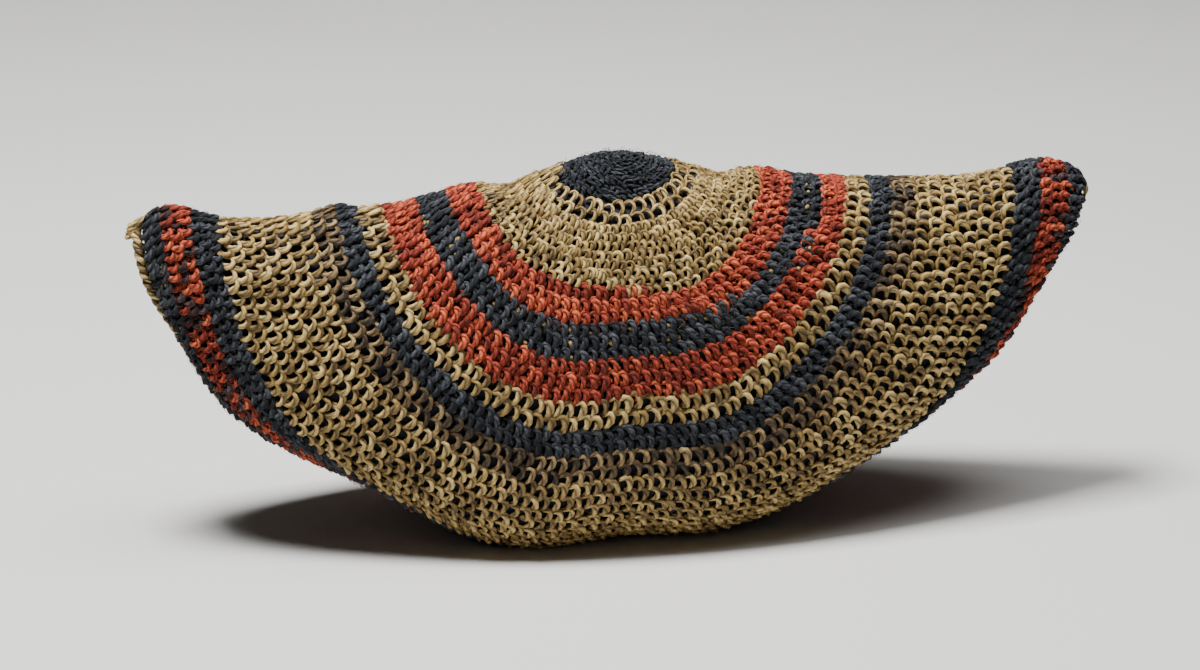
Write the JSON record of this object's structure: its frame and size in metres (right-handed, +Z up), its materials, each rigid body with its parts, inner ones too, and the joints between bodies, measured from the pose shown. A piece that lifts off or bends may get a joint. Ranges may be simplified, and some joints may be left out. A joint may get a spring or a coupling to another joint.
{
  "type": "looped string bag",
  "caption": "Soft round string bag in looped stitch, folded over its middle with the mouth underneath, in beige, brick red and dark blue rings.",
  "frame": {"origin": "on the surface that the bag lies on, under the middle of its outer box", "axes": "+Z up; +X along the fold, from the knotted tip to the other tip; +Y through the bag from the front face to the back face"},
  "size_m": [0.3543, 0.097, 0.1384],
  "materials": {
    "looped_string": "looped natural string with dyed wool rings, matt",
    "edging_string": "natural beige string, slightly glossy"
  },
  "bodies": {
    "root": {"bag_wall": "looped_string", "mouth_edging": "edging_string", "edging_knot": "edging_string"}
  },
  "joints": []
}
